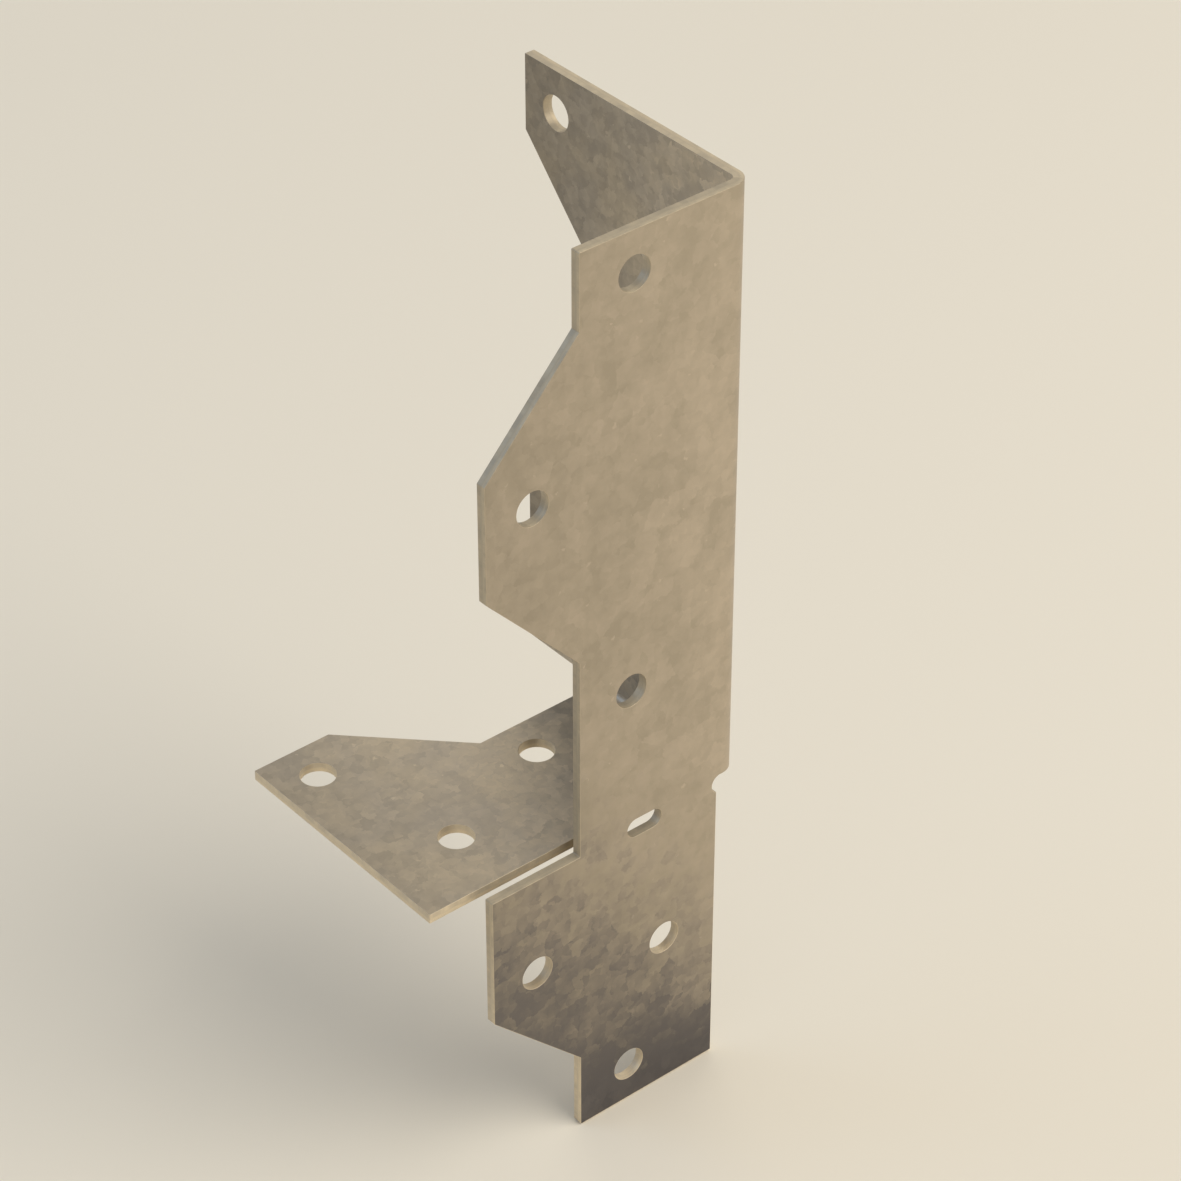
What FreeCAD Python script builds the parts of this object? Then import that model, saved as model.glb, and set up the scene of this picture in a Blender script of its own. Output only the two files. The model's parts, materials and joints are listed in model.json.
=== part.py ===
import FreeCAD, Part
import math
import os
import Sketcher

# Framing anchor: one galvanised steel sheet with two leaves, folded upright between
# them and folded level at the foot of one of them.
#
# Frame: the origin is the corner where the three planes that the anchor seats on
# meet. +Z is up. The front leaf stands in front of Y = 0 and runs towards -X. The
# back leaf lies against X = 0 and runs towards +Y. Below the fold line the back leaf
# is turned flat, as a tab that lies on Z = 0, while the front leaf runs straight on,
# down past Z = 0. A slit parts the two there.
#
# Both leaves come from one zig-zag cut, so one is wide where the other is narrow.
# A reach is measured from the inside of the upright fold, and a length along the
# sheet from the fold line, which lies one thickness above Z = 0.

driving_dimensions = {
    "thickness": 1.2,  # 18 gauge sheet with its zinc
    "bend_radius": 0.8,  # inside of both folds
    "wide_reach": 33.0,
    "narrow_reach": 21.0,
    "foot": 26.0,  # straight edge above the fold line
    "flank": 13.0,  # each sloping edge above the fold line
    "waist": 14.2,  # straight edge between the flanks
    "crown": 9.0,  # straight edge at the top
    "root": 17.0,  # straight edge below the fold line
    "taper": 12.0,  # sloping edge below the fold line
    "tip": 10.1,  # straight edge at the lower end
    "slit_reach": 1.7,  # edges of the slit, from the inside of the upright fold
    "relief_reach": 2.35,  # rounded end of the slit, from the same line
    "relief_height": 2.4,
    "hole_diameter": 4.1,
    "end_margin": 5.0,  # outermost holes, from the ends of the sheet
    "front_wide_margin": 6.0,  # hole centres from the wide edge of the front leaf
    "front_narrow_margin": 7.0,
    "back_wide_margin": 5.0,
    "back_narrow_margin": 5.0,
    "waist_hole_rise": 2.0,  # middle holes above the middle of the waist
    "foot_hole_drop": 7.0,  # foot holes below the top of the foot
    "root_hole_margin": 4.0,  # root holes from the end of the root
    "front_inner_reach": 9.0,  # holes beside the slit
    "tab_inner_reach": 10.0,
    "front_inner_offset": 1.0,  # past the end of the root
    "slot_reach": 12.0,  # centre of the fold line's slots
    "slot_length": 4.8,
    "slot_height": 2.4,
    "neutral_share": 0.42,  # depth of the layer that keeps its length in a fold
}

doc = FreeCAD.newDocument("framing_anchor")
sheet = doc.addObject("Spreadsheet::Sheet", "sizes")
for row, (alias, value) in enumerate(driving_dimensions.items(), start=1):
    sheet.set(f"A{row}", alias)
    sheet.set(f"B{row}", str(value))
    sheet.setAlias(f"B{row}", alias)
doc.recompute()


def cell(alias):
    return f"sizes.{alias}"


# Levels and places that follow from the driving dimensions, as expressions
thickness = cell("thickness")
inner_radius = cell("bend_radius")
outer_radius = f"({thickness} + {inner_radius})"
fold_level = thickness
foot_top = f"({fold_level} + {cell('foot')})"
waist_bottom = f"({foot_top} + {cell('flank')})"
waist_top = f"({waist_bottom} + {cell('waist')})"
crown_bottom = f"({waist_top} + {cell('flank')})"
top = f"({crown_bottom} + {cell('crown')})"
root_end = cell("root")
taper_end = f"({root_end} + {cell('taper')})"
tip_end = f"({taper_end} + {cell('tip')})"
relief_top = f"({fold_level} + {cell('relief_height')} / 2)"

# Lengths along the sheet at which holes lie, above and below the fold line
crown_hole = f"({top} - {cell('end_margin')})"
waist_hole = f"({waist_bottom} + {cell('waist')} / 2 + {cell('waist_hole_rise')})"
foot_hole = f"({foot_top} - {cell('foot_hole_drop')})"
root_hole = f"({root_end} - {cell('root_hole_margin')})"
tip_hole = f"({tip_end} - {cell('end_margin')})"
front_inner_hole = f"({root_end} + {cell('front_inner_offset')})"

front_wide = f"({cell('wide_reach')} - {cell('front_wide_margin')})"
front_narrow = f"({cell('narrow_reach')} - {cell('front_narrow_margin')})"
back_wide = f"({cell('wide_reach')} - {cell('back_wide_margin')})"
back_narrow = f"({cell('narrow_reach')} - {cell('back_narrow_margin')})"


def behind(length):
    # X of a point that lies a reach or a tab length from the inside of the fold
    return f"-({thickness} + {length})"


def below(length):
    # Z of a point that lies a length below the fold line
    return f"({fold_level} - {length})"


def number(expression):
    return float(sheet.evalExpression(expression))


def point(x, y):
    return FreeCAD.Vector(number(x), number(y), 0)


def origin_plane(body, role):
    for feature in body.Origin.OriginFeatures:
        if feature.Role == role:
            return feature
    raise RuntimeError(f"no plane {role}")


def new_sketch(body, name, plane):
    sketch = body.newObject("Sketcher::SketchObject", name)
    sketch.AttachmentSupport = (origin_plane(body, plane), [""])
    sketch.MapMode = "FlatFace"
    return sketch


def bind(sketch, kind, *args):
    # Adds one dimension, whose last argument is an expression
    *places, expression = args
    index = sketch.addConstraint(Sketcher.Constraint(kind, *places, number(expression)))
    sketch.setExpression(f"Constraints[{index}]", expression)


def place(sketch, geometry, vertex, x, y):
    bind(sketch, "DistanceX", -1, 1, geometry, vertex, x)
    bind(sketch, "DistanceY", -1, 1, geometry, vertex, y)


def draw_outline(sketch, corners):
    # Closed outline of straight edges, each corner a pair of expressions
    points = [point(x, y) for x, y in corners]
    first = len(sketch.Geometry)
    count = len(points)
    for index in range(count):
        sketch.addGeometry(Part.LineSegment(points[index], points[(index + 1) % count]))
    for index in range(count):
        following = first + (index + 1) % count
        sketch.addConstraint(Sketcher.Constraint("Coincident", first + index, 2, following, 1))
        place(sketch, first + index, 1, *corners[index])


def draw_hole(sketch, x, y):
    radius = f"{cell('hole_diameter')} / 2"
    circle = Part.Circle(point(x, y), FreeCAD.Vector(0, 0, 1), number(radius))
    index = sketch.addGeometry(circle)
    place(sketch, index, 3, x, y)
    bind(sketch, "Radius", index, radius)


def draw_slot(sketch, left, right, y, height):
    # Round-ended slot between the X of its two extreme points
    radius = f"({height} / 2)"
    centres = (f"({left} + {radius})", f"({right} - {radius})")
    quarter = FreeCAD.Vector(0, number(radius), 0)
    first = len(sketch.Geometry)
    for x, start in zip(centres, (0.5, 1.5)):
        circle = Part.Circle(point(x, y), FreeCAD.Vector(0, 0, 1), number(radius))
        arc = Part.ArcOfCircle(circle, start * math.pi, (start + 1) * math.pi)
        sketch.addGeometry(arc)
    far, near = point(centres[0], y), point(centres[1], y)
    sketch.addGeometry(Part.LineSegment(near.add(quarter), far.add(quarter)))
    sketch.addGeometry(Part.LineSegment(far.sub(quarter), near.sub(quarter)))
    left_arc, right_arc, top_line, bottom_line = range(first, first + 4)
    for arc, arc_end, line, line_end in (
        (left_arc, 1, top_line, 2),
        (left_arc, 2, bottom_line, 1),
        (right_arc, 1, bottom_line, 2),
        (right_arc, 2, top_line, 1),
    ):
        sketch.addConstraint(Sketcher.Constraint("Tangent", arc, arc_end, line, line_end))
    place(sketch, left_arc, 3, centres[0], y)
    bind(sketch, "DistanceX", -1, 1, right_arc, 3, centres[1])
    bind(sketch, "Radius", left_arc, radius)
    sketch.addConstraint(Sketcher.Constraint("Horizontal", top_line))


def draw_bend(sketch, x, y):
    # Section of a fold: a quarter ring about a centre, from below it to its right
    centre = point(x, y)
    first = len(sketch.Geometry)
    for radius in (outer_radius, inner_radius):
        circle = Part.Circle(centre, FreeCAD.Vector(0, 0, 1), number(radius))
        sketch.addGeometry(Part.ArcOfCircle(circle, -math.pi / 2, 0))
    below_centre, beside_centre = FreeCAD.Vector(0, -1, 0), FreeCAD.Vector(1, 0, 0)
    for way in (below_centre, beside_centre):
        ends = [centre.add(way * number(radius)) for radius in (outer_radius, inner_radius)]
        sketch.addGeometry(Part.LineSegment(*ends))
    outer_arc, inner_arc, lower_line, upper_line = range(first, first + 4)
    place(sketch, outer_arc, 3, x, y)
    bind(sketch, "Radius", outer_arc, outer_radius)
    bind(sketch, "Radius", inner_arc, inner_radius)
    sketch.addConstraint(Sketcher.Constraint("Coincident", inner_arc, 3, outer_arc, 3))
    for vertex, line, direction in ((1, lower_line, "Vertical"), (2, upper_line, "Horizontal")):
        sketch.addConstraint(Sketcher.Constraint("Coincident", line, 1, outer_arc, vertex))
        sketch.addConstraint(Sketcher.Constraint("Coincident", line, 2, inner_arc, vertex))
        for arc in (outer_arc, inner_arc):
            sketch.addConstraint(Sketcher.Constraint(direction, arc, 3, arc, vertex))


def pad(body, sketch, length, name, reversed_way=False):
    feature = body.newObject("PartDesign::Pad", name)
    feature.Profile = sketch
    feature.setExpression("Length", length)
    feature.Reversed = reversed_way
    doc.recompute()
    return feature


def pocket(body, sketch, length, name, reversed_way=False):
    # A pocket runs against its sketch's normal unless it is reversed
    before = body.Shape.Volume
    feature = body.newObject("PartDesign::Pocket", name)
    feature.Profile = sketch
    feature.setExpression("Length", length)
    feature.Reversed = reversed_way
    doc.recompute()
    if feature.Shape.Volume > before - 1.0:
        raise RuntimeError(f"{name} cuts nothing")
    return feature


body = doc.addObject("PartDesign::Body", "anchor")
body.Label = "anchor"

# Front leaf: in front of Y = 0, straight from top to tip
sketch = new_sketch(body, "front_outline", "XZ_Plane")
narrow_x, wide_x = behind(cell("narrow_reach")), behind(cell("wide_reach"))
slit_x = behind(cell("slit_reach"))
draw_outline(
    sketch,
    [
        (f"-{outer_radius}", top),
        (narrow_x, top),
        (narrow_x, crown_bottom),
        (wide_x, waist_top),
        (wide_x, waist_bottom),
        (narrow_x, foot_top),
        (narrow_x, fold_level),
        (wide_x, fold_level),
        (wide_x, below(root_end)),
        (narrow_x, below(taper_end)),
        (narrow_x, below(tip_end)),
        (slit_x, below(tip_end)),
        (slit_x, fold_level),
        (f"-{outer_radius}", fold_level),
    ],
)
pad(body, sketch, thickness, "front_leaf")

# Upright fold between the leaves, down to the relief at the head of the slit
sketch = new_sketch(body, "upright_fold_section", "XY_Plane")
sketch.setExpression("AttachmentOffset.Base.z", relief_top)
draw_bend(sketch, f"-{outer_radius}", inner_radius)
pad(body, sketch, f"{top} - {relief_top}", "upright_fold")

# Back leaf: against X = 0, wide where the front leaf is narrow
sketch = new_sketch(body, "back_outline", "YZ_Plane")
narrow_y, wide_y = cell("narrow_reach"), cell("wide_reach")
draw_outline(
    sketch,
    [
        (inner_radius, top),
        (wide_y, top),
        (wide_y, crown_bottom),
        (narrow_y, waist_top),
        (narrow_y, waist_bottom),
        (wide_y, foot_top),
        (wide_y, fold_level),
        (narrow_y, fold_level),
        (narrow_y, outer_radius),
        (inner_radius, outer_radius),
    ],
)
pad(body, sketch, thickness, "back_leaf", reversed_way=True)

# Level fold at the foot of the back leaf, from the slit to the narrow edge
sketch = new_sketch(body, "level_fold_section", "XZ_Plane")
sketch.setExpression("AttachmentOffset.Base.z", f"-{cell('slit_reach')}")
draw_bend(sketch, f"-{outer_radius}", outer_radius)
pad(body, sketch, f"{narrow_y} - {cell('slit_reach')}", "level_fold", reversed_way=True)

# Tab: flat on Z = 0, from the level fold to the end of the sheet
sketch = new_sketch(body, "tab_outline", "XY_Plane")
draw_outline(
    sketch,
    [
        (f"-{outer_radius}", cell("slit_reach")),
        (behind(tip_end), cell("slit_reach")),
        (behind(tip_end), wide_y),
        (behind(taper_end), wide_y),
        (behind(root_end), narrow_y),
        (f"-{outer_radius}", narrow_y),
    ],
)
pad(body, sketch, thickness, "tab")

# Holes of the front leaf, its fold line's slot and its half of the relief
sketch = new_sketch(body, "front_hole_places", "XZ_Plane")
for reach, level in (
    (front_narrow, crown_hole),
    (front_wide, waist_hole),
    (front_narrow, foot_hole),
    (front_wide, below(root_hole)),
    (cell("front_inner_reach"), below(front_inner_hole)),
    (front_narrow, below(tip_hole)),
):
    draw_hole(sketch, behind(reach), level)
half_slot = f"{cell('slot_length')} / 2"
slot_left = behind(f"{cell('slot_reach')} + {half_slot}")
slot_right = behind(f"{cell('slot_reach')} - {half_slot}")
draw_slot(sketch, slot_left, slot_right, fold_level, cell("slot_height"))
relief_left = behind(cell("relief_reach"))
draw_slot(sketch, relief_left, cell("relief_reach"), fold_level, cell("relief_height"))
pocket(body, sketch, thickness, "front_holes", reversed_way=True)

# Holes of the back leaf
sketch = new_sketch(body, "back_hole_places", "YZ_Plane")
for reach, level in (
    (back_wide, crown_hole),
    (back_narrow, waist_hole),
    (back_wide, foot_hole),
):
    draw_hole(sketch, reach, level)
pocket(body, sketch, thickness, "back_holes")

# Holes of the tab
sketch = new_sketch(body, "tab_hole_places", "XY_Plane")
for reach, length in (
    (back_narrow, root_hole),
    (cell("tab_inner_reach"), taper_end),
    (back_wide, tip_hole),
):
    draw_hole(sketch, behind(length), reach)
pocket(body, sketch, thickness, "tab_holes", reversed_way=True)

# Slot and relief across the level fold. They were cut in the flat sheet, as far
# above the fold line as below it, and are cut here along the fold's diagonal, from
# the centre of the fold outwards. Their height is measured along the curved sheet:
# a quarter turn of the neutral layer, and the rest as flat sheet on each side.
neutral_radius = f"({inner_radius} + {cell('neutral_share')} * {thickness})"
quarter_arc = f"({neutral_radius} * pi / 2)"


def folded_height(flat_height):
    # Height across the diagonal of a cut with this height in the flat sheet
    return f"(sqrt(2) * {neutral_radius} + ({flat_height} - {quarter_arc}) / sqrt(2))"


sketch = new_sketch(body, "fold_hole_places", "YZ_Plane")
sketch.AttachmentOffset = FreeCAD.Placement(
    FreeCAD.Vector(0, 0, 0), FreeCAD.Rotation(FreeCAD.Vector(1, 0, 0), 45)
)
sketch.setExpression("AttachmentOffset.Base.y", outer_radius)
sketch.setExpression("AttachmentOffset.Base.z", f"-{outer_radius}")
slot_near = f"({cell('slot_reach')} - {half_slot})"
slot_far = f"({cell('slot_reach')} + {half_slot})"
draw_slot(sketch, slot_near, slot_far, "0", folded_height(cell("slot_height")))
relief_far = cell("relief_reach")
draw_slot(sketch, f"-{relief_far}", relief_far, "0", folded_height(cell("relief_height")))
fold_holes = pocket(body, sketch, f"2 * {outer_radius}", "fold_holes", reversed_way=True)

body.Tip = fold_holes
doc.recompute()

for item in doc.Objects:
    if "Invalid" in item.State or "Error" in item.State:
        raise RuntimeError(f"{item.Name} failed: {item.State}")
if body.Shape.isNull() or not body.Shape.isValid():
    raise RuntimeError("the anchor's shape is not valid")
if len(body.Shape.Solids) != 1:
    raise RuntimeError("the anchor is not one solid")

os.makedirs("parts", exist_ok=True)
body.Shape.exportStep(f"parts/{body.Label}.step")
box = body.Shape.optimalBoundingBox()
print(f"{body.Label}: {box.XLength:.1f} x {box.YLength:.1f} x {box.ZLength:.1f} mm")
print(f"volume {body.Shape.Volume:.0f} mm3")
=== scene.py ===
import json
import math

import bpy
import numpy as np
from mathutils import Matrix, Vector
from mathutils.geometry import delaunay_2d_cdt


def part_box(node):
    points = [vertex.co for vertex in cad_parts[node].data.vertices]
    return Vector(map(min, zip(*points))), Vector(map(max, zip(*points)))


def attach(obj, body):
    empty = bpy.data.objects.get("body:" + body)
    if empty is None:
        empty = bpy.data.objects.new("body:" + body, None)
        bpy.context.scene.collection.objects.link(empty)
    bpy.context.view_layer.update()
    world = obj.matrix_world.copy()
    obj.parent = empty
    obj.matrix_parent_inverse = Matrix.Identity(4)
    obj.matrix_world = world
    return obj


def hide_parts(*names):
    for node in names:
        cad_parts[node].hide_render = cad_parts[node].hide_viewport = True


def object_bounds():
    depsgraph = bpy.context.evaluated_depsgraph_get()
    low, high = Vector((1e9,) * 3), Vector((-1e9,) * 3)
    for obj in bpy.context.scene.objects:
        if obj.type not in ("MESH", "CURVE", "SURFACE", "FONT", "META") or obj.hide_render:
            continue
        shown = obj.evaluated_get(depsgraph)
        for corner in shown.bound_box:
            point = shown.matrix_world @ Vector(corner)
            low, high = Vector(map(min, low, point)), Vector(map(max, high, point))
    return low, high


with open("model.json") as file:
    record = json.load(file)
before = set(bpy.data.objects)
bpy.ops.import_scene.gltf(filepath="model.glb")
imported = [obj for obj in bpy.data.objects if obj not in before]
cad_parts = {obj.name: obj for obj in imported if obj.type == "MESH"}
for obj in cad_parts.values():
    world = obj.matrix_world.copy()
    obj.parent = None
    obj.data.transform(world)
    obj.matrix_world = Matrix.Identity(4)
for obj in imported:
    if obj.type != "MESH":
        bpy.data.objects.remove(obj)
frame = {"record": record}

cadLow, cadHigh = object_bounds()
scene = bpy.context.scene
scene.view_settings.view_transform = "Standard"
mm = 0.001

# Camera: at the photograph's angle, found by fitting the anchor's edges
cameraView = {
    "aim": (-20.784, -1.193, 35.865),  # mm, where the middle of the picture meets the front leaf
    "azimuth": -39.748,  # degrees round the object, from the front towards its left
    "elevation": 36.262,
    "distance": 399.253,  # mm
    "lens": 119.781,  # mm
    "sensor": 36,  # mm, its width
    "nearest": 0.01,  # m, what the camera sees lies between these
    "farthest": 20,
}


def makeCamera(view):
    azimuth, elevation = math.radians(view["azimuth"]), math.radians(view["elevation"])
    back = Vector((
        math.sin(azimuth) * math.cos(elevation),
        -math.cos(azimuth) * math.cos(elevation),
        math.sin(elevation),
    ))
    camera = bpy.data.objects.new("camera", bpy.data.cameras.new("camera"))
    scene.collection.objects.link(camera)
    camera.location = (Vector(view["aim"]) + back * view["distance"]) * mm
    camera.rotation_mode = "QUATERNION"
    camera.rotation_quaternion = back.to_track_quat("Z", "Y")
    camera.data.sensor_width = view["sensor"]
    camera.data.lens = view["lens"]
    camera.data.clip_start = view["nearest"]
    camera.data.clip_end = view["farthest"]
    scene.camera = camera


makeCamera(cameraView)
print("camera placed")

# The anchor is drawn flat, as the blank that the press cuts, and then folded.
# u runs across the blank from the middle of the upright fold, negative on the
# front leaf. v runs up from the level of the tab's upper face. w is the depth from
# the outer face of both folds, 0, to the inner face, one thickness. All in
# millimetres.
sizes = {
    "bendRadius": 0.8,  # inside of both folds
    "neutralShare": 0.42,  # of the thickness lies inside the layer that keeps its length
    "narrowReach": 21.0,  # reaches are from the inside of the upright fold
    "foot": 26.0,
    "flank": 13.0,
    "waist": 14.2,
    "root": 17.0,
    "taper": 12.0,
    "slitReach": 1.7,
    "reliefReach": 2.35,
    "reliefHeight": 2.4,
    "slotReach": 12.0,
    "slotLength": 4.8,
    "slotHeight": 2.4,
    "cornerRound": 0.12,  # corners of the outline, as a worn die leaves them
    "rollOver": 0.06,  # round on the side where the punch entered, the outer face
    "exitRound": 0.04,  # and where it came out
    "tearWidth": 0.7,  # over which the foot's end goes from flat to folded
    "tabStart": -0.5,  # v below which the whole back side is tab
}
meshSteps = {
    "edge": 0.6,  # mm between points along an edge
    "inside": 1.6,  # and inside the faces
    "apart": 0.06,  # mm that an edge's even points keep from its points on a fold's rows
    "clear": 0.3,  # mm that the inside points keep from every edge
    "fold": 12,  # steps round a fold
    "hole": 56,
    "relief": 22,
    "corner": 4,
    "roll": 4,
    "wall": 4,
}

anchorLow, anchorHigh = (np.array(corner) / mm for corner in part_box("anchor"))
bores = [mount for mount in frame["record"]["mounts"] if mount["kind"] == "bore"]
thickness = bores[0]["dims"]["length_mm"]
holeRadius = bores[0]["dims"]["r_mm"]

innerRadius = sizes["bendRadius"]
outerRadius = innerRadius + thickness
foldLength = math.pi / 2 * (innerRadius + sizes["neutralShare"] * thickness)
halfFold = foldLength / 2
wideReach = anchorHigh[1]
top = anchorHigh[2] - thickness
tipEnd = -anchorLow[2] + thickness
tabShift = foldLength - 2 * innerRadius  # how much further down the blank the tab's places lie
uRows = np.linspace(-halfFold, halfFold, meshSteps["fold"] + 1)
vRows = np.linspace(innerRadius, innerRadius - foldLength, meshSteps["fold"] + 1)
small = 1e-6  # mm, counts as nothing


def across(reach):
    # Place of a reach on the blank: half the fold's flat length, and the straight run
    return halfFold + reach - innerRadius


def tabPlace(length):
    # Place on the blank of a length of the tab, counted from the back leaf's inner face:
    # so far down, and the shift besides
    return -(length + tabShift)


def blankCorners():
    # Corners of the blank, anticlockwise: from the top of the back leaf down the front
    # leaf to the slit, and from the slit round the tab and up the back leaf
    wide, narrow = across(wideReach), across(sizes["narrowReach"])
    slit = across(sizes["slitReach"])
    footTop = sizes["foot"]
    waistBottom = footTop + sizes["flank"]
    waistTop = waistBottom + sizes["waist"]
    crownBottom = waistTop + sizes["flank"]
    rootEnd = sizes["root"]
    taperEnd = rootEnd + sizes["taper"]
    frontSide = [
        (wide, top), (-narrow, top), (-narrow, crownBottom), (-wide, waistTop),
        (-wide, waistBottom), (-narrow, footTop), (-narrow, 0), (-wide, 0),
        (-wide, -rootEnd), (-narrow, -taperEnd), (-narrow, -tipEnd), (-slit, -tipEnd),
    ]
    backSide = [
        (slit, tabPlace(tipEnd)), (wide, tabPlace(tipEnd)), (wide, tabPlace(taperEnd)),
        (narrow, tabPlace(rootEnd)), (narrow, 0), (wide, 0), (wide, footTop),
        (narrow, waistBottom), (narrow, waistTop), (wide, crownBottom),
    ]
    return frontSide, backSide


def reliefCurve():
    # Arcs round the two ends of the relief, from the slit over the top and down again:
    # the middle of an end plus the radius times the cosine and sine of the turn
    radius = sizes["reliefHeight"] / 2
    middle = across(sizes["reliefReach"]) - radius
    slit = across(sizes["slitReach"])
    start = math.acos((slit - middle) / radius)
    turn = np.linspace(math.pi + start, math.pi / 2, meshSteps["relief"])
    front = np.c_[-middle + radius * np.cos(turn), radius * np.sin(turn)]
    back = front[::-1] * (-1, 1)
    return np.r_[front, back]


def roundCorners(points, radius, steps):
    # Replaces each corner by an arc that is tangent to both its edges. Its centre lies
    # on their bisector, the radius over the sine of half the corner's angle away. A
    # point on it mixes the arc's two ends by the sine of its angle from the other end.
    points = np.asarray(points, float)
    before = np.roll(points, 1, axis=0) - points
    after = np.roll(points, -1, axis=0) - points
    before /= np.linalg.norm(before, axis=1)[:, None]
    after /= np.linalg.norm(after, axis=1)[:, None]
    half = np.arccos(np.clip((before * after).sum(1), -1, 1)) / 2
    reach = radius / np.tan(half)
    middle = before + after
    middle /= np.linalg.norm(middle, axis=1)[:, None]
    centre = points + middle * (radius / np.sin(half))[:, None]
    start = points + before * reach[:, None] - centre
    end = points + after * reach[:, None] - centre
    share = np.linspace(0, 1, steps + 1)[None, :, None]
    sweep = (math.pi - 2 * half)[:, None, None]
    arc = np.sin((1 - share) * sweep) * start[:, None] + np.sin(share * sweep) * end[:, None]
    return centre[:, None] + arc / np.sin(sweep)


def foldCrossings(start, run):
    # Shares of an edge's run at which it crosses the rows of a fold, each the row's place
    # less the start's, over the run: a level edge crosses the upright fold's rows, and
    # any other edge of the back side those of the level fold
    if abs(run[1]) < small:
        return (uRows - start[0]) / run[0]
    if start[0] > 0:
        return (vRows - start[1]) / run[1]
    return np.empty(0)


def fillEdges(points):
    # Adds even points along each long edge, and points where it crosses a fold's rows
    loop = []
    for start, end in zip(points, np.roll(points, -1, axis=0)):
        run = end - start
        length = np.linalg.norm(run)
        places = np.arange(0, 1, 1 / max(1, round(length / meshSteps["edge"])))
        if length > meshSteps["edge"]:
            crossings = foldCrossings(start, run)
            least = meshSteps["apart"] / length
            crossings = crossings[(crossings > least) & (crossings < 1 - least)]
            gaps = abs(places[:, None] - crossings).min(1, initial=1)
            places = places[(places == 0) | (gaps > least)]
            places = np.sort(np.r_[places, crossings])
        loop.append(start + run * places[:, None])
    return np.concatenate(loop)


def outlineLoop():
    # The blank's rounded corners, with the relief's curve between its two sides. The
    # curve's ends are among the corners only for the rounding of those beside them.
    frontSide, backSide = blankCorners()
    relief = reliefCurve()
    corners = np.array(frontSide + [tuple(relief[0]), tuple(relief[-1])] + backSide)
    rounded = roundCorners(corners, sizes["cornerRound"], meshSteps["corner"])
    count = len(frontSide)
    pieces = [rounded[:count].reshape(-1, 2), relief, rounded[count + 2:].reshape(-1, 2)]
    return fillEdges(np.concatenate(pieces))


def ringLoop(u, v, radius):
    # Circle about (u, v), clockwise as every hole is
    turn = -np.linspace(0, 2 * math.pi, meshSteps["hole"], endpoint=False)
    return np.c_[u + radius * np.cos(turn), v + radius * np.sin(turn)]


def slotLoop(u, v):
    # Round-ended slot about (u, v): a half circle, and the same turned about the middle
    radius = sizes["slotHeight"] / 2
    reach = sizes["slotLength"] / 2 - radius
    turn = -np.linspace(-math.pi / 2, math.pi / 2, meshSteps["hole"] // 2)
    right = np.c_[u + reach + radius * np.cos(turn), v + radius * np.sin(turn)]
    left = np.array((2 * u, 2 * v)) - right
    return fillEdges(np.r_[right, left])


def blankPlace(bore):
    # Where a hole of the folded part lies on the blank: on the front leaf when it runs
    # along Y, on the back leaf when along X, and otherwise on the tab
    x, y, z = np.array(bore["pos_m"]) / mm
    if abs(bore["axis"][1]) > 0.5:
        return -across(-x - thickness), z - thickness
    if abs(bore["axis"][0]) > 0.5:
        return across(y), z - thickness
    return across(y), tabPlace(-x - thickness)


def blankLoops():
    # The outline, the round holes and the two slots
    loops = [outlineLoop()]
    loops += [ringLoop(*blankPlace(bore), holeRadius) for bore in bores]
    loops.append(slotLoop(-across(sizes["slotReach"]), 0))
    loops.append(slotLoop(across(sizes["slotReach"]), innerRadius - halfFold))
    return loops


def outwardNormals(loop):
    # Away from the metal, which lies to the left of each loop's direction: the sum of
    # both edges' normals, over one plus their dot product, so that an offset keeps the
    # same distance from both edges
    step = np.roll(loop, -1, axis=0) - loop
    step /= np.linalg.norm(step, axis=1)[:, None]
    side = np.c_[step[:, 1], -step[:, 0]]
    both = side + np.roll(side, 1, axis=0)
    return both / (1 + (side * np.roll(side, 1, axis=0)).sum(1))[:, None]


def smoothRise(x):
    # From 0 to 1: three times the square of x less twice its cube
    x = np.clip(x, 0, 1)
    return x * x * (3 - 2 * x)


def fold(place):
    # Carries (u, v, w) to the folded part, with its frame there: quarter turns of the
    # neutral layer about the two fold axes, and straight runs along the leaves
    u, v, w = place.T
    zero, one = np.zeros_like(u), np.ones_like(u)
    radius = outerRadius - w

    # Upright fold, with the front leaf before it and the back leaf after it
    turn = np.clip((u + halfFold) / foldLength, 0, 1) * math.pi / 2
    before, after = np.maximum(-u - halfFold, 0), np.maximum(u - halfFold, 0)
    x = -outerRadius + radius * np.sin(turn) - before
    y = innerRadius - radius * np.cos(turn) + after
    upright = np.c_[x, y, v + thickness]
    alongU = np.c_[np.cos(turn), np.sin(turn), zero]
    alongV = np.c_[zero, zero, one]
    alongW = np.c_[-np.sin(turn), np.cos(turn), zero]

    # Level fold at the foot of the back leaf, with the tab beyond it
    turn = np.clip((innerRadius - v) / foldLength, 0, 1) * math.pi / 2
    beyond = np.maximum(innerRadius - foldLength - v, 0)
    x = -outerRadius + radius * np.cos(turn) - beyond
    level = np.c_[x, y, outerRadius - radius * np.sin(turn)]
    levelV = np.c_[np.sin(turn), zero, np.cos(turn)]
    levelW = np.c_[-np.cos(turn), zero, np.sin(turn)]

    # The back side goes over to the level fold, and at the foot's end through the tear
    tear = (across(sizes["narrowReach"]) + sizes["tearWidth"] - u) / sizes["tearWidth"]
    share = smoothRise(tear) * ((u > 0) & (v < innerRadius))
    share = np.where(v < sizes["tabStart"], (u > 0) * one, share)[:, None]
    spots = upright + (level - upright) * share
    alongV = alongV + (levelV - alongV) * share
    alongW = alongW + (levelW - alongW) * share
    frames = np.stack([alongU, alongV, alongW], axis=1)
    return spots, frames / np.linalg.norm(frames, axis=2)[:, :, None]


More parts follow.
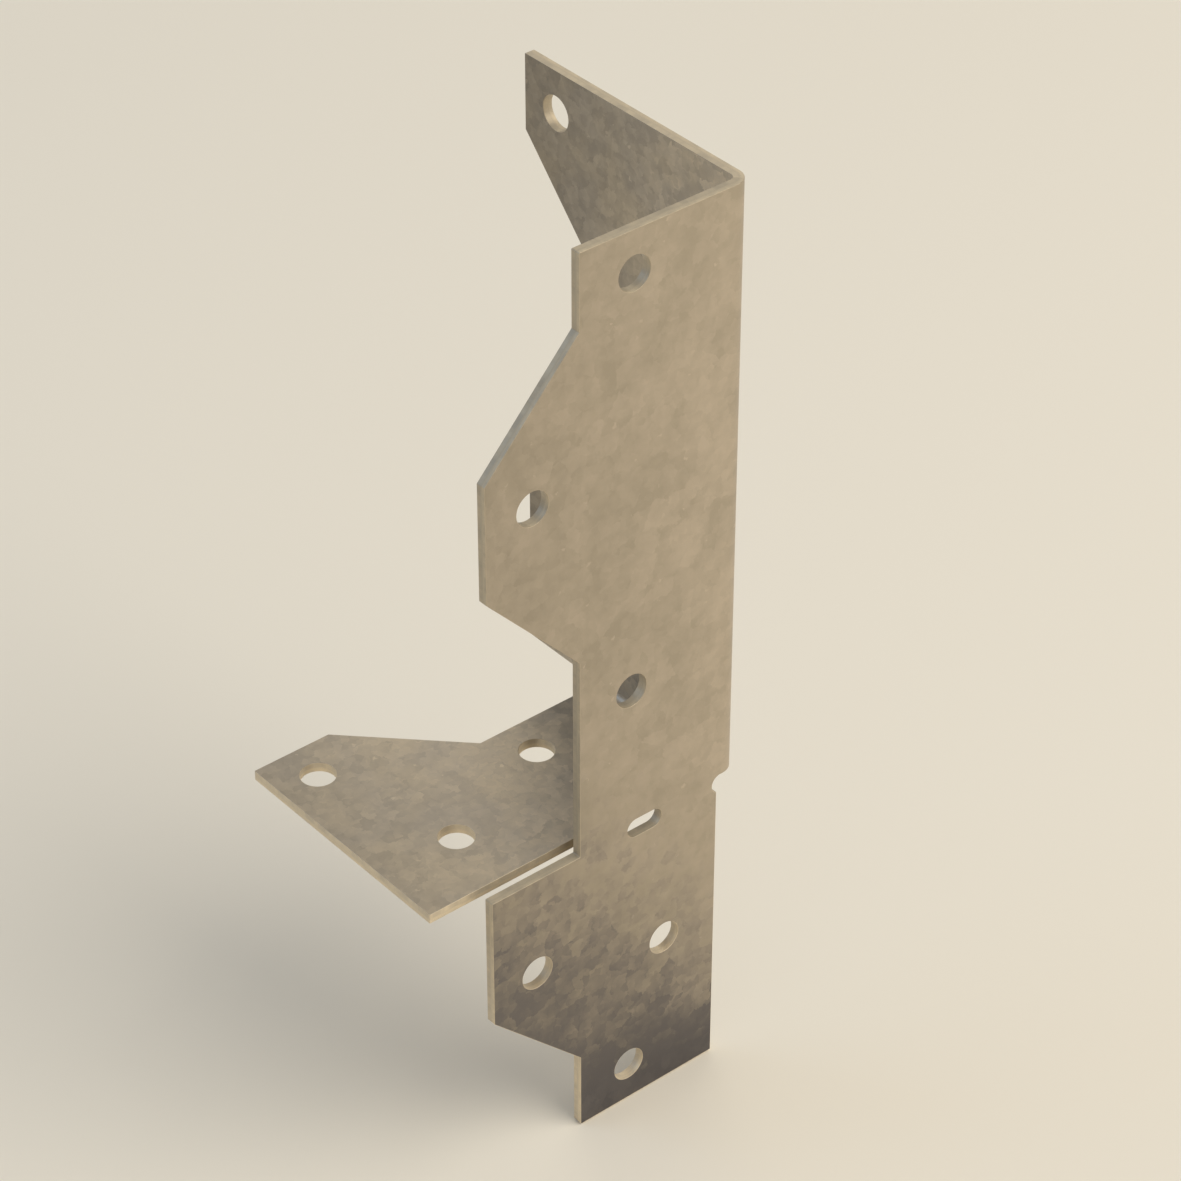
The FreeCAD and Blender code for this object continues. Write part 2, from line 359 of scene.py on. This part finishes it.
def rimProfile():
    # Section of a cut edge from the outer face to the inner: inset, depth and lean.
    # A quarter circle, a straight wall and a smaller quarter circle.
    quarter = np.linspace(0, math.pi / 2, meshSteps["roll"] + 1)
    roll, leave = sizes["rollOver"], sizes["exitRound"]
    wall = np.linspace(roll, thickness - leave, meshSteps["wall"] + 1)[1:-1]
    inset = np.r_[roll * (1 - np.sin(quarter)), 0 * wall, leave * (1 - np.cos(quarter))]
    lastDepth = thickness - leave * (1 - np.sin(quarter))
    depth = np.r_[roll * (1 - np.cos(quarter)), wall, lastDepth]
    lean = np.r_[quarter, 0 * wall + math.pi / 2, quarter + math.pi / 2]
    return inset, depth, lean


def inMetal(points, loops):
    # Inside the outline and outside the holes: a ray to the right of such a point
    # crosses an odd number of edges
    a = np.concatenate(loops)
    b = np.concatenate([np.roll(loop, -1, axis=0) for loop in loops])
    u, v = points[:, :1], points[:, 1:]
    spans = (a[:, 1] > v) != (b[:, 1] > v)
    rise = np.where(a[:, 1] == b[:, 1], 1, b[:, 1] - a[:, 1])
    right = u < a[:, 0] + (v - a[:, 1]) * (b[:, 0] - a[:, 0]) / rise
    return (spans & right).sum(1) % 2 == 1


def gridPoints(u, v):
    # Every u with every v
    return np.stack(np.meshgrid(u, v), axis=-1).reshape(-1, 2)


def insidePoints(loops):
    # A grid over the blank, and rows along the folds, kept off the edges
    outline = np.concatenate(loops)
    low, high = outline.min(0), outline.max(0)
    step = meshSteps["inside"]
    v = np.arange(low[1], high[1], step)
    grid = gridPoints(np.arange(low[0], high[0], step), v)
    offUpright = (abs(grid[:, 0]) > halfFold + step / 2) | (grid[:, 1] < 0)
    aboveEnd = grid[:, 1] > innerRadius - foldLength - step / 2
    inLevel = (grid[:, 1] < innerRadius + step / 2) & aboveEnd & (grid[:, 0] > 0)
    grid = grid[offUpright & ~inLevel]
    uprightRows = gridPoints(uRows, v[v > sizes["reliefHeight"] / 2])
    levelRows = gridPoints(np.arange(0, high[0], step / 2), vRows)
    points = np.concatenate([grid, uprightRows, levelRows])
    points = points[inMetal(points, loops)]
    batches = np.array_split(points, 12)  # to spare memory
    gaps = [np.sqrt(((part[:, None] - outline) ** 2).sum(2)).min(1) for part in batches]
    return points[np.concatenate(gaps) > meshSteps["clear"]]


def fillBlank(loops, extra):
    # Triangles between the outline and the holes, as points and their numbers
    points = np.concatenate(loops + [extra])
    edges, start = [], 0
    for loop in loops:
        index = np.arange(len(loop)) + start
        edges += np.c_[index, np.roll(index, -1)].tolist()
        start += len(loop)
    corners = [Vector(point) for point in points.tolist()]
    insideOnly = 1  # keeps only the triangles inside the edges
    _, _, faces, sources, _, _ = delaunay_2d_cdt(corners, edges, [], insideOnly, small)
    source = np.array([found[0] for found in sources])
    triangles = source[np.array(faces)]
    triangles = triangles[inMetal(points[triangles].mean(1), loops)]
    used = np.zeros(len(points), bool)
    used[:start] = True
    used[triangles] = True
    return points[used], (np.cumsum(used) - 1)[triangles]


def rimQuads(loops, ringStarts):
    # Four-sided faces between each ring of the rim and the next
    quads = []
    start = 0
    for loop in loops:
        index = np.arange(len(loop)) + start
        following = np.roll(index, -1)
        for a, b in zip(ringStarts[:-1], ringStarts[1:]):
            quads.append(np.c_[index + a, index + b, following + b, following + a])
        start += len(loop)
    return np.concatenate(quads)


shadeReach = {
    "leaf": 12.0,  # mm up the back leaf over which its painted shade sets in
    "tab": 20.0,  # mm along the tab before its own painted shade starts
}


def foldReach(places):
    # Distance that the painted shade darkens with. On both leaves it is the one from the upright
    # fold, low on the back leaf times the share of the height reached. On the tab it is
    # the one from the level fold, less the stretch before the painted shade starts.
    u, v = places[:, 0], places[:, 1]
    onLeaf = u * np.clip(v / shadeReach["leaf"], 0, 1)
    onTab = -v - shadeReach["tab"]
    return np.where(u < 0, -u, np.maximum(np.maximum(onTab, onLeaf), 0))


def addAttribute(mesh, name, values):
    attribute = mesh.attributes.new(name, "FLOAT", "POINT")
    attribute.data.foreach_set("value", values.astype(np.float32))


def addBlankMap(mesh, places):
    # UV map of the flat blank in millimetres, so that the spangle runs round the folds
    corner = np.zeros(len(mesh.loops), dtype=np.int32)
    mesh.loops.foreach_get("vertex_index", corner)
    layer = mesh.uv_layers.new(name="blank")
    layer.data.foreach_set("uv", places[corner].astype(np.float32).ravel())


sideShift = 300.0  # mm, sets the inner side's crystals apart from the outer side's


def makeAnchorMesh():
    # Two flat faces, one thickness apart, and a rim of rings between them, all folded
    loops = blankLoops()
    normals = [outwardNormals(loop) for loop in loops]
    inset, depth, lean = rimProfile()
    lastRow = len(inset) - 1
    faceLoops = [loop - normal * inset[0] for loop, normal in zip(loops, normals)]
    points, triangles = fillBlank(faceLoops, insidePoints(loops))
    outline = np.concatenate(loops)
    rim = np.concatenate(normals)
    rimCount, faceCount = len(outline), len(points)
    unit = rim / np.linalg.norm(rim, axis=1)[:, None]

    # The faces' own edges are the first and the last ring. Normals go round the rim: the
    # sine of the lean outwards, and its cosine towards the outer face.
    rings = []
    ringNormals = []
    for row in range(1, lastRow):
        rings.append(np.c_[outline - rim * inset[row], np.full(rimCount, depth[row])])
        flatPart = np.full(rimCount, -math.cos(lean[row]))
        ringNormals.append(np.c_[unit * math.sin(lean[row]), flatPart])
    innerPoints = points.copy()
    innerPoints[:rimCount] = outline - rim * inset[lastRow]
    places = np.concatenate([
        np.c_[points, np.zeros(faceCount)],
        np.c_[innerPoints, np.full(faceCount, thickness)],
        *rings,
    ])
    flatNormals = np.concatenate([
        np.tile((0.0, 0.0, -1.0), (faceCount, 1)),
        np.tile((0.0, 0.0, 1.0), (faceCount, 1)),
        *ringNormals,
    ])
    spots, frames = fold(places)
    bentNormals = np.einsum("ij,ijk->ik", flatNormals, frames)

    ringStarts = [2 * faceCount + row * rimCount for row in range(lastRow - 1)]
    quads = rimQuads(loops, [0, *ringStarts, faceCount])
    innerTriangles = triangles[:, ::-1] + faceCount
    faces = triangles.tolist() + innerTriangles.tolist() + quads.tolist()
    mesh = bpy.data.meshes.new("galvanised_anchor")
    mesh.from_pydata((spots * mm).tolist(), [], faces)
    mesh.shade_smooth()
    mesh.normals_split_custom_set_from_vertices(bentNormals.tolist())

    # How far a cut edge of the front leaf faces up, in the fourth power, 1 where it is level: the mask
    # of a painted shade
    upward = np.clip(unit[:, 1], 0, 1) ** 4 * (outline[:, 0] < 0)
    onFaces = np.zeros(2 * faceCount)
    addAttribute(mesh, "cutEdge", np.r_[onFaces, np.ones(len(places) - 2 * faceCount)])
    addAttribute(mesh, "cutDepth", places[:, 2] / thickness)
    addAttribute(mesh, "cutUpward", np.r_[onFaces, np.tile(upward, lastRow - 1)])
    # Distance from the folds, for the painted shade that darkens the sheet away from them
    addAttribute(mesh, "foldReach", foldReach(places))
    isInner = (places[:, 2] > thickness / 2) * 1.0
    addBlankMap(mesh, places[:, :2] + isInner[:, None] * (sideShift, 0))
    return mesh


anchorMesh = makeAnchorMesh()
anchor = bpy.data.objects.new("galvanised_anchor", anchorMesh)
scene.collection.objects.link(anchor)
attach(anchor, "root")
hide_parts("anchor")
print("anchor folded:", len(anchorMesh.polygons), "faces")


def addNode(tree, kind, inputs, **settings):
    # Inputs are sockets to link or values to set, and settings the node's own properties
    node = tree.nodes.new(kind)
    for name, value in settings.items():
        setattr(node, name, value)
    for name, value in inputs.items():
        if isinstance(value, bpy.types.NodeSocket):
            tree.links.new(value, node.inputs[name])
        else:
            node.inputs[name].default_value = value
    return node


def calculate(tree, operation, *values):
    node = addNode(tree, "ShaderNodeMath", dict(enumerate(values)), operation=operation)
    return node.outputs[0]


def blend(tree, share, a, b):
    # Colour a where share is 0 and b where it is 1
    return addNode(tree, "ShaderNodeMix", {0: share, 6: a, 7: b}, data_type="RGBA").outputs[2]


def vectors(tree, operation, inputs):
    # All outputs: the first is a vector, and a dot product is the one named Value
    return addNode(tree, "ShaderNodeVectorMath", inputs, operation=operation).outputs


def spread(tree, value, low, high, fromLow=0.0, fromHigh=1.0):
    # Smooth rise or fall from low to high while the value goes through its range
    inputs = {"Value": value, "From Min": fromLow, "From Max": fromHigh, "To Min": low, "To Max": high}
    return addNode(tree, "ShaderNodeMapRange", inputs, interpolation_type="SMOOTHSTEP").outputs["Result"]


def addNoise(tree, place, scale, detail):
    inputs = {"Vector": place, "Scale": scale, "Detail": detail, "Roughness": 0.6}
    return addNode(tree, "ShaderNodeTexNoise", inputs, noise_dimensions="2D").outputs


def addCells(tree, place, scale):
    inputs = {"Vector": place, "Scale": scale, "Randomness": 1.0}
    settings = {"voronoi_dimensions": "2D", "feature": "F1"}
    return addNode(tree, "ShaderNodeTexVoronoi", inputs, **settings).outputs


def readAttribute(tree, name):
    return addNode(tree, "ShaderNodeAttribute", {}, attribute_name=name).outputs["Fac"]


def makeMaterial(name):
    material = bpy.data.materials.new(name)
    material.use_nodes = True
    shader = material.node_tree.nodes["Principled BSDF"]
    return material, material.node_tree, shader


# Spangle: noises are given by their scale, in features for each mm, and their detail
spangle = {
    "layers": ((1.0, 0.55), (0.45, 0.45)),  # cell size in crystals, and weight
    "lean": 1.2,  # how much a cell's tone leans to one side
    "wander": (1.3, 4.0),  # pushes the cells' borders
    "clouds": (0.5, 2.0),
    "drift": (0.1, 3.0),
    "driftRange": (0.3, 0.7),
    "nickScale": 0.3,
    "nickSize": 0.075,
    "nickRange": (0.55, 1.0),  # cells whose random value lies here have a nick
    "grain": (5.0, 3.0),
    "crystalRelief": 0.3,  # heights against the grain's
    "nickRelief": -0.5,
}


def makeSpangleGroup():
    # Zinc crystals: two sizes of cell with wandering borders. Each cell has its own tone,
    # which leans to one side of it: the offset from its middle along its own direction.
    group = bpy.data.node_groups.new("spangle", "ShaderNodeTree")
    group.interface.new_socket("Place", in_out="INPUT", socket_type="NodeSocketVector")
    group.interface.new_socket("Crystal", in_out="INPUT", socket_type="NodeSocketFloat")
    group.interface.new_socket("Feather", in_out="INPUT", socket_type="NodeSocketFloat")
    for name in ("Crystals", "Clouds", "Drift", "Nicks", "Relief"):
        group.interface.new_socket(name, in_out="OUTPUT", socket_type="NodeSocketFloat")
    given = group.nodes.new("NodeGroupInput").outputs
    result = group.nodes.new("NodeGroupOutput").inputs
    half = (0.5, 0.5, 0.5)

    noise = addNoise(group, given["Place"], *spangle["wander"])["Color"]
    wander = vectors(group, "SUBTRACT", {0: noise, 1: half})[0]
    pushed = vectors(group, "SCALE", {0: wander, "Scale": given["Feather"]})[0]
    place = vectors(group, "ADD", {0: given["Place"], 1: pushed})[0]
    crystals = 0.0
    for share, weight in spangle["layers"]:
        cellSize = calculate(group, "MULTIPLY", given["Crystal"], share)
        cells = addCells(group, place, calculate(group, "DIVIDE", 1.0, cellSize))
        offset = vectors(group, "SUBTRACT", {0: place, 1: cells["Position"]})[0]
        direction = vectors(group, "SUBTRACT", {0: cells["Color"], 1: half})[0]
        along = vectors(group, "DOT_PRODUCT", {0: offset, 1: direction})["Value"]
        lean = calculate(group, "DIVIDE", along, cellSize)
        own = addNode(group, "ShaderNodeSeparateColor", {0: cells["Color"]}).outputs["Blue"]
        tone = calculate(group, "MULTIPLY_ADD", lean, spangle["lean"], own)
        crystals = calculate(group, "MULTIPLY_ADD", tone, weight, crystals)
    group.links.new(crystals, result["Crystals"])

    # Soft clouds among the crystals, and a broad drift over the whole sheet
    clouds = addNoise(group, given["Place"], *spangle["clouds"])["Fac"]
    group.links.new(clouds, result["Clouds"])
    drift = addNoise(group, given["Place"], *spangle["drift"])["Fac"]
    drift = spread(group, drift, 0.0, 1.0, *spangle["driftRange"])
    group.links.new(drift, result["Drift"])

    # A few small nicks: the middles of some cells of a coarse layer, pulled out of round
    cells = addCells(group, place, spangle["nickScale"])
    own = addNode(group, "ShaderNodeSeparateColor", {0: cells["Color"]}).outputs["Red"]
    nickSize = spread(group, own, 0.0, spangle["nickSize"], *spangle["nickRange"])
    nicks = calculate(group, "LESS_THAN", cells["Distance"], nickSize)
    group.links.new(nicks, result["Nicks"])

    grain = addNoise(group, given["Place"], *spangle["grain"])["Fac"]
    height = calculate(group, "MULTIPLY_ADD", crystals, spangle["crystalRelief"], grain)
    height = calculate(group, "MULTIPLY_ADD", nicks, spangle["nickRelief"], height)
    group.links.new(height, result["Relief"])
    return group


# Galvanised sheet: what a user would change
zincLook = {
    "outside": {
        "light": (0.553, 0.473, 0.372, 1),
        "dull": (0.43, 0.371, 0.287, 1),
        "cool": (1.0, 1.0, 1.0, 1),  # casts that the broad drift goes between, here none
        "warm": (1.0, 1.0, 1.0, 1),
        "crystal": 2.3,  # mm
        "crisp": 0.75,  # how much the crystals show, the soft clouds and the broad drift
        "soft": 0.6,
        "broad": 0.4,
        "nearFold": 1.07,  # painted light at the folds, and its fall into painted shade for each mm away
        "fall": 0.0058,
    },
    "inside": {  # the side inside both folds is greyer
        "light": (0.57, 0.492, 0.386, 1),
        "dull": (0.372, 0.325, 0.264, 1),
        "cool": (0.988, 1.0, 1.03, 1),
        "warm": (1.008, 1.0, 0.975, 1),
        "crystal": 1.9,
        "crisp": 1.05,
        "soft": 0.35,
        "broad": 0.25,
        # painted light at the folds, and painted shade falling away from them
        "nearFold": 1.15,
        "fall": 0.0155,
    },
    "film": {  # painted dark reflection low on the outer face of the front leaf
        "pale": (0.174, 0.159, 0.154, 1),
        "dark": (0.122, 0.114, 0.117, 1),
        "rise": (-0.75, -1.05),  # how its amount grows for each mm along u and along v
        "start": -13.7,  # amount where both are 0, and nothing shows up to 0
        "full": 50.0,  # amount from which it grows no darker
        "ragged": 23.0,  # how much the crystals add to it
        "strength": (0.91, 0.61),  # away from the slit, and near it
        "slitRange": (-11.0, -2.0),  # u between which that changes
        "tipRange": (-36.3, -24.5),  # v where the tip's own painted dark reflection is full, and where it ends
        "tipRagged": 5.0,  # mm
    },
    "cut": {  # sheared edges
        "burnished": (0.595, 0.5, 0.352, 1),
        "torn": (0.44, 0.377, 0.28, 1),
        "tornRange": (0.3, 0.5),  # shares of the depth between which the tear begins
        "tornShare": 0.35,  # how much less burnished it is beyond
        "streaks": (0.45, 5.0),  # scale and detail of the noise along the edges
        "streakRange": (0.3, 0.7),
        "leastStreak": 0.3,
        "upward": 0.86,  # brightness under the painted shade on the front leaf's edges that face up
        "low": 1.42,  # and painted light that makes every edge paler at the lower end
        "lowRange": (-32.0, 8.0),  # v between which that sets in
        "metallic": 0.45,
    },
    "nick": 0.7,  # how much paler a nick is
    "feather": 1.1,  # mm, how far the crystals' borders wander
    "metallic": 0.85,
    "roughness": 0.48,
    "crystalRoughness": 0.12,  # how much rougher a pale crystal is than a dark one
    "filmRoughness": 0.06,  # and the zone of the painted dark reflection than the rest of the sheet
    "bump": 0.25,
    "bumpHeight": 0.00004,  # m
}


def mixSide(tree, side, spangles, paintedShadeReach):
    # Colour of one side: crystals, clouds, drift and nicks mix the two tones, about half
    # and half, and a painted shade makes the brightness fall away from the folds
    middle = 0.5 * (1 - side["crisp"] - side["soft"] - side["broad"])
    mottle = calculate(tree, "MULTIPLY_ADD", spangles["Crystals"], side["crisp"], middle)
    mottle = calculate(tree, "MULTIPLY_ADD", spangles["Drift"], side["broad"], mottle)
    mottle = calculate(tree, "MULTIPLY_ADD", spangles["Clouds"], side["soft"], mottle)
    mottle = calculate(tree, "MULTIPLY_ADD", spangles["Nicks"], zincLook["nick"], mottle)
    colour = blend(tree, mottle, side["dull"], side["light"])
    cast = blend(tree, spangles["Drift"], side["cool"], side["warm"])
    colour = vectors(tree, "MULTIPLY", {0: colour, 1: cast})[0]
    # Painted shade: darker with distance from the folds
    strength = calculate(tree, "MULTIPLY_ADD", paintedShadeReach, -side["fall"], side["nearFold"])
    return vectors(tree, "SCALE", {0: colour, "Scale": strength})[0]


def darkReflectionShare(tree, axes, crystals):
    # Where the painted dark reflection shows: it deepens across a slanting line, less near the
    # slit, and again towards the tip. It is ragged at the crystals.
    film = zincLook["film"]
    down = calculate(tree, "MULTIPLY_ADD", axes["Y"], film["rise"][1], film["start"])
    slant = calculate(tree, "MULTIPLY_ADD", axes["X"], film["rise"][0], down)
    ragged = calculate(tree, "MULTIPLY_ADD", crystals, film["ragged"], slant)
    # How deep the painted dark reflection is along the slanting line
    thickness = spread(tree, ragged, 0.0, 1.0, 0.0, film["full"])
    strength = spread(tree, axes["X"], *film["strength"], *film["slitRange"])
    slanting = calculate(tree, "MULTIPLY", thickness, strength)
    level = calculate(tree, "ADD", axes["Y"], film["tipRagged"] / 2)
    level = calculate(tree, "MULTIPLY_ADD", crystals, -film["tipRagged"], level)
    aboveTip = spread(tree, level, 0.0, 1.0, *film["tipRange"])
    clear = calculate(tree, "MULTIPLY", calculate(tree, "SUBTRACT", 1.0, slanting), aboveTip)
    onFront = calculate(tree, "LESS_THAN", axes["X"], 0.0)
    return calculate(tree, "MULTIPLY", calculate(tree, "SUBTRACT", 1.0, clear), onFront)


def cutColour(tree, place, axes):
    # Cut edges: burnished where the punch went in, torn beyond, streaked across, with a
    # painted shade where the front leaf's edges face up and painted light that makes them paler towards
    # the lower end of the sheet
    cut = zincLook["cut"]
    noise = addNoise(tree, place, *cut["streaks"])["Fac"]
    streaks = spread(tree, noise, cut["leastStreak"], 1.0, *cut["streakRange"])
    depth = readAttribute(tree, "cutDepth")
    torn = spread(tree, depth, 0.0, cut["tornShare"], *cut["tornRange"])
    tone = blend(tree, calculate(tree, "SUBTRACT", streaks, torn), cut["torn"], cut["burnished"])
    upward = readAttribute(tree, "cutUpward")
    # Painted shade on the front leaf's edges that face up
    paintedUpShade = calculate(tree, "MULTIPLY_ADD", upward, cut["upward"] - 1.0, 1.0)
    # Painted light: the edges are paler towards the lower end
    paintedLowLight = spread(tree, axes["Y"], cut["low"], 1.0, *cut["lowRange"])
    brightness = calculate(tree, "MULTIPLY", paintedLowLight, paintedUpShade)
    return vectors(tree, "SCALE", {0: tone, "Scale": brightness})[0]


def makeZinc():
    look = zincLook
    material, tree, shader = makeMaterial("zinc")
    place = addNode(tree, "ShaderNodeUVMap", {}, uv_map="blank").outputs["UV"]
    axes = addNode(tree, "ShaderNodeSeparateXYZ", {"Vector": place}).outputs
    isInner = calculate(tree, "GREATER_THAN", axes["X"], sideShift / 2)
    outside, inside = look["outside"], look["inside"]
    more = inside["crystal"] - outside["crystal"]
    group = addNode(tree, "ShaderNodeGroup", {}, node_tree=makeSpangleGroup())
    tree.links.new(place, group.inputs["Place"])
    crystalSize = calculate(tree, "MULTIPLY_ADD", isInner, more, outside["crystal"])
    tree.links.new(crystalSize, group.inputs["Crystal"])
    group.inputs["Feather"].default_value = look["feather"]
    spangles = group.outputs
    crystals = spangles["Crystals"]

    # Distance from the folds that the painted shade darkens with
    paintedShadeReach = readAttribute(tree, "foldReach")
    colours = [mixSide(tree, side, spangles, paintedShadeReach) for side in (outside, inside)]
    colour = blend(tree, isInner, *colours)
    # Painted dark reflection low on the front leaf, ragged at the crystals
    share = darkReflectionShare(tree, axes, crystals)
    film = blend(tree, crystals, look["film"]["dark"], look["film"]["pale"])
    colour = blend(tree, share, colour, film)
    isCut = readAttribute(tree, "cutEdge")
    colour = blend(tree, isCut, colour, cutColour(tree, place, axes))
    tree.links.new(colour, shader.inputs["Base Color"])

    less = look["cut"]["metallic"] - look["metallic"]
    bare = calculate(tree, "MULTIPLY_ADD", isCut, less, look["metallic"])
    tree.links.new(bare, shader.inputs["Metallic"])
    least = look["roughness"] - look["crystalRoughness"] / 2
    rough = calculate(tree, "MULTIPLY_ADD", crystals, look["crystalRoughness"], least)
    rough = calculate(tree, "MULTIPLY_ADD", share, look["filmRoughness"], rough)
    tree.links.new(rough, shader.inputs["Roughness"])
    bump = addNode(tree, "ShaderNodeBump", {
        "Strength": look["bump"], "Distance": look["bumpHeight"], "Height": spangles["Relief"],
    })
    tree.links.new(bump.outputs["Normal"], shader.inputs["Normal"])
    return material


anchor.data.materials.append(makeZinc())
print("zinc mixed")

# Floor and light; lengths in metres and powers in watts
studio = {
    "floor": (0.88, 0.825, 0.715, 1),
    "floorRoughness": 0.8,
    "floorSize": 3.0,  # from the middle to each side
    "floorDrop": 0.0002,  # below the anchor's lowest point
    "world": (1.0, 1.0, 1.0, 1),
    "worldStrength": 0.4,
    "lampAim": (-0.02, 0, 0.03),  # every lamp faces it
    "lamps": {
        "key": {"place": (0.3, -0.6, 0.72), "size": 0.9, "power": 6.8, "colour": (1.0, 0.94, 0.84)},
        "top": {"place": (0.42, 0.5, 0.55), "size": 0.6, "power": 0.88, "colour": (1.0, 0.93, 0.77)},
        "side": {"place": (-0.5, 0.48, 0.4), "size": 0.45, "power": 0.68, "colour": (0.35, 0.61, 1.0)},
    },
}


def makeFloor():
    reach = studio["floorSize"]
    level = cadLow[2] - studio["floorDrop"]
    corners = [(-reach, -reach), (reach, -reach), (reach, reach), (-reach, reach)]
    mesh = bpy.data.meshes.new("floor")
    mesh.from_pydata([(x, y, level) for x, y in corners], [], [(0, 1, 2, 3)])
    floor = bpy.data.objects.new("floor", mesh)
    scene.collection.objects.link(floor)
    paint, _, shader = makeMaterial("floor_paint")
    shader.inputs["Base Color"].default_value = studio["floor"]
    shader.inputs["Roughness"].default_value = studio["floorRoughness"]
    mesh.materials.append(paint)


def makeWorld():
    world = bpy.data.worlds.new("studio")
    scene.world = world
    world.use_nodes = True
    background = world.node_tree.nodes["Background"]
    background.inputs["Color"].default_value = studio["world"]
    background.inputs["Strength"].default_value = studio["worldStrength"]


def addSoftLamp(name, place, size, power, colour):
    lamp = bpy.data.lights.new(name, "AREA")
    lamp.shape = "SQUARE"
    lamp.size = size
    lamp.energy = power
    lamp.color = colour
    lampObject = bpy.data.objects.new(name, lamp)
    scene.collection.objects.link(lampObject)
    lampObject.location = place
    lampObject.rotation_mode = "QUATERNION"
    back = Vector(place) - Vector(studio["lampAim"])
    lampObject.rotation_quaternion = back.to_track_quat("Z", "Y")


makeFloor()
makeWorld()
for name, lamp in studio["lamps"].items():
    addSoftLamp(name, **lamp)
print("floor laid and lamps lit")
